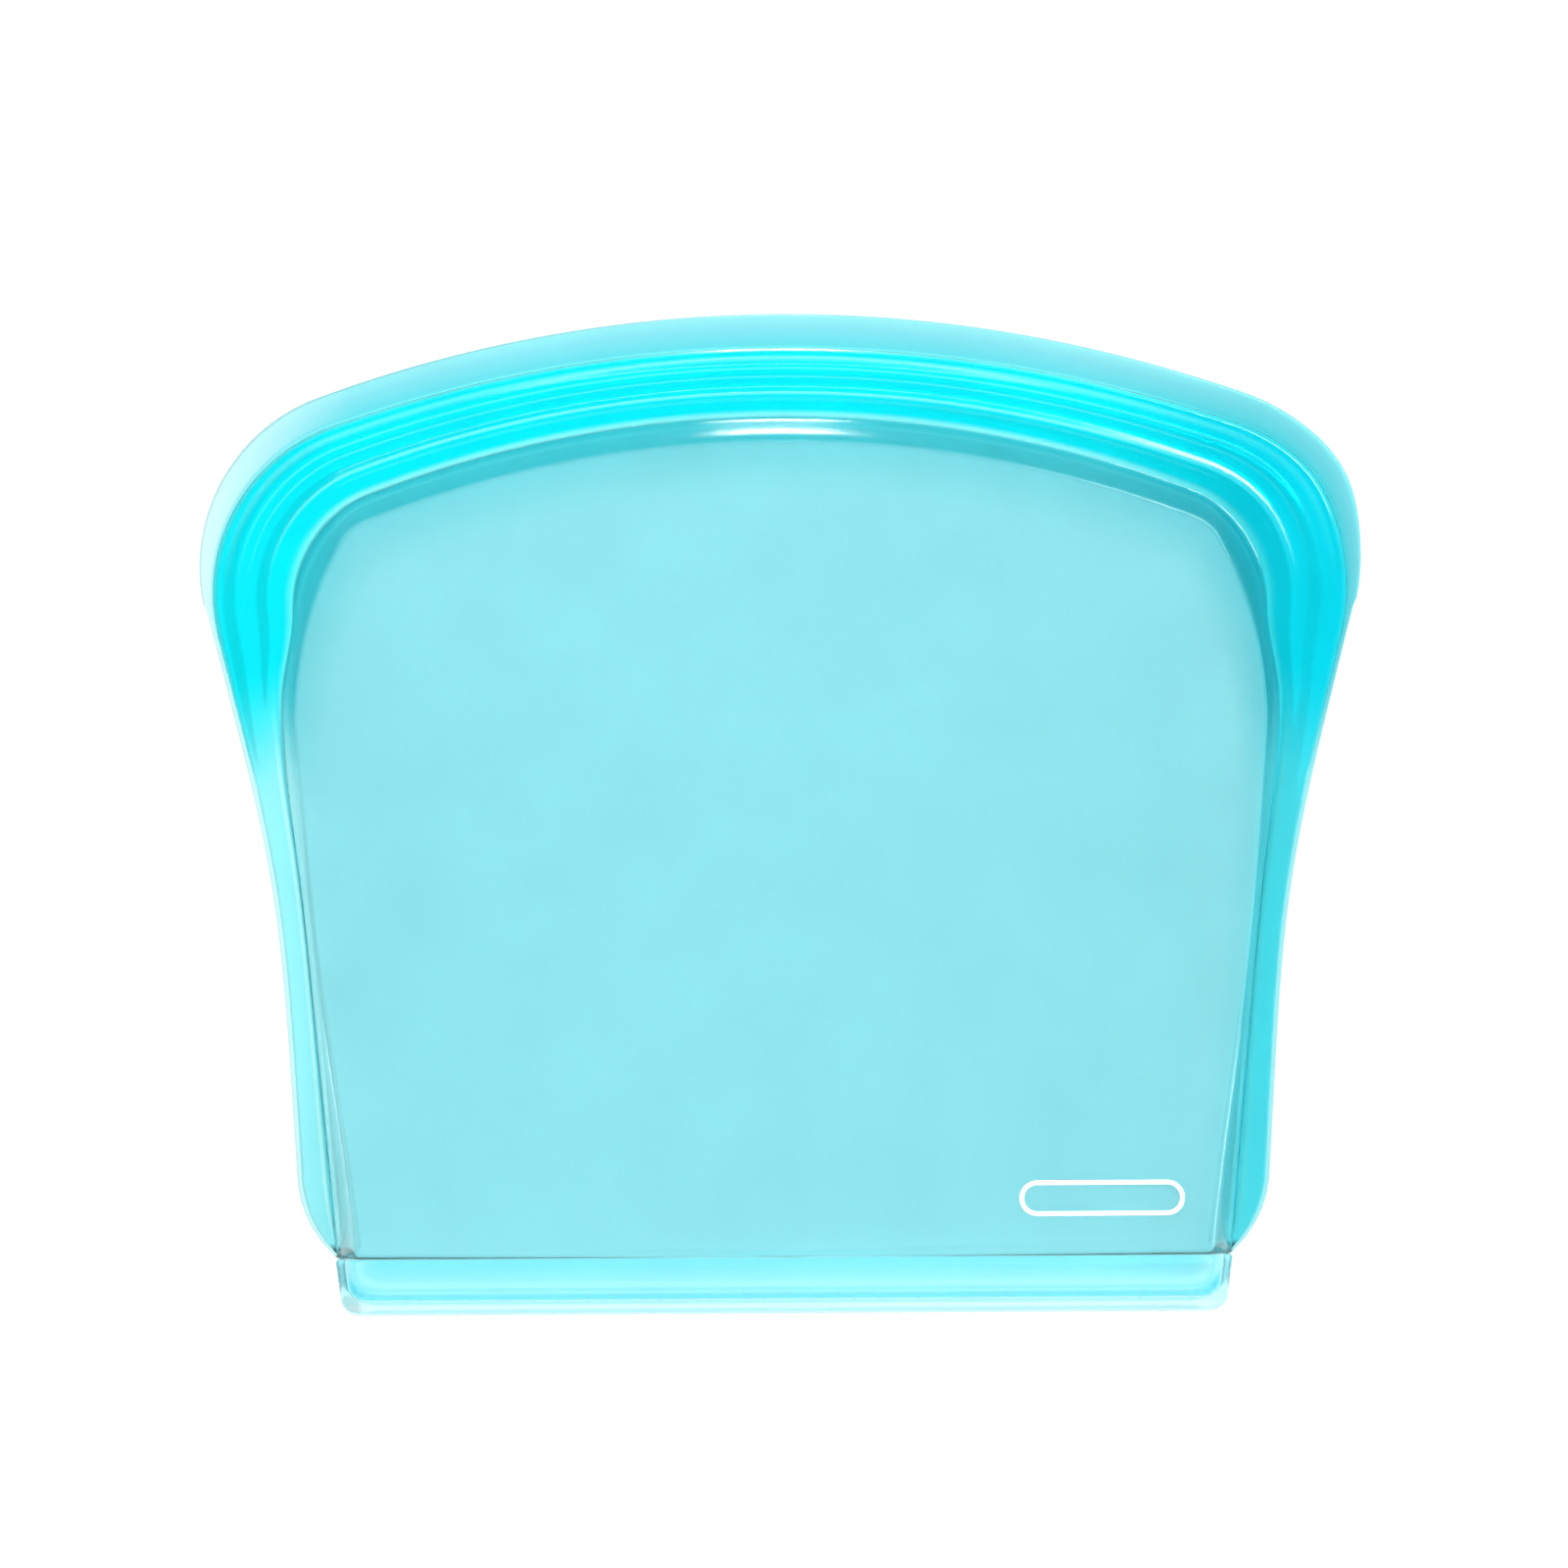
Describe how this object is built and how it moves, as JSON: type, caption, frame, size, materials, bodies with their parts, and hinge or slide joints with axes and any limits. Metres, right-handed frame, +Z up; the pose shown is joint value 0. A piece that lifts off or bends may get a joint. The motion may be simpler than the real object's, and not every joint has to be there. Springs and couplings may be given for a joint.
{
  "type": "reusable silicone bag",
  "caption": "Stand-up food bag of clear tinted silicone with a moulded base, flat side seams, an arched press-seal mouth and two pull lips.",
  "frame": {"origin": "centre of the underside of the base", "axes": "+X to the right across the bag, +Y from its front wall to its back wall, +Z up from the base to the mouth"},
  "size_m": [0.1902, 0.022, 0.1637],
  "materials": {
    "wall_silicone": "satin translucent",
    "seal_silicone": "satin translucent",
    "edge_silicone": "satin translucent",
    "lip_silicone": "satin translucent",
    "base_silicone": "satin translucent",
    "printed_mark": "matt ink"
  },
  "bodies": {
    "pouch": {"base_boat": "base_silicone", "front_wall_lower": "wall_silicone", "back_wall_lower": "wall_silicone", "left_side_seam": "edge_silicone", "right_side_seam": "edge_silicone", "left_seal_end": "seal_silicone", "right_seal_end": "seal_silicone"},
    "front_mouth": {"front_wall_upper": "wall_silicone", "front_seal_grooves": "seal_silicone", "front_lip": "lip_silicone"},
    "back_mouth": {"back_wall_upper": "wall_silicone", "back_seal_ribs": "seal_silicone", "back_lip": "lip_silicone"}
  },
  "joints": [
    {"name": "front_mouth_fold", "type": "hinge", "parent": "pouch", "child": "front_mouth", "pos_m": [0, -0.0085, 0.102], "axis": [1, 0, 0], "range_deg": [0, 35], "stiffness_Nm_per_rad": 0.02},
    {"name": "back_mouth_fold", "type": "hinge", "parent": "pouch", "child": "back_mouth", "pos_m": [0, 0.0085, 0.102], "axis": [-1, 0, 0], "range_deg": [0, 35], "stiffness_Nm_per_rad": 0.02}
  ]
}
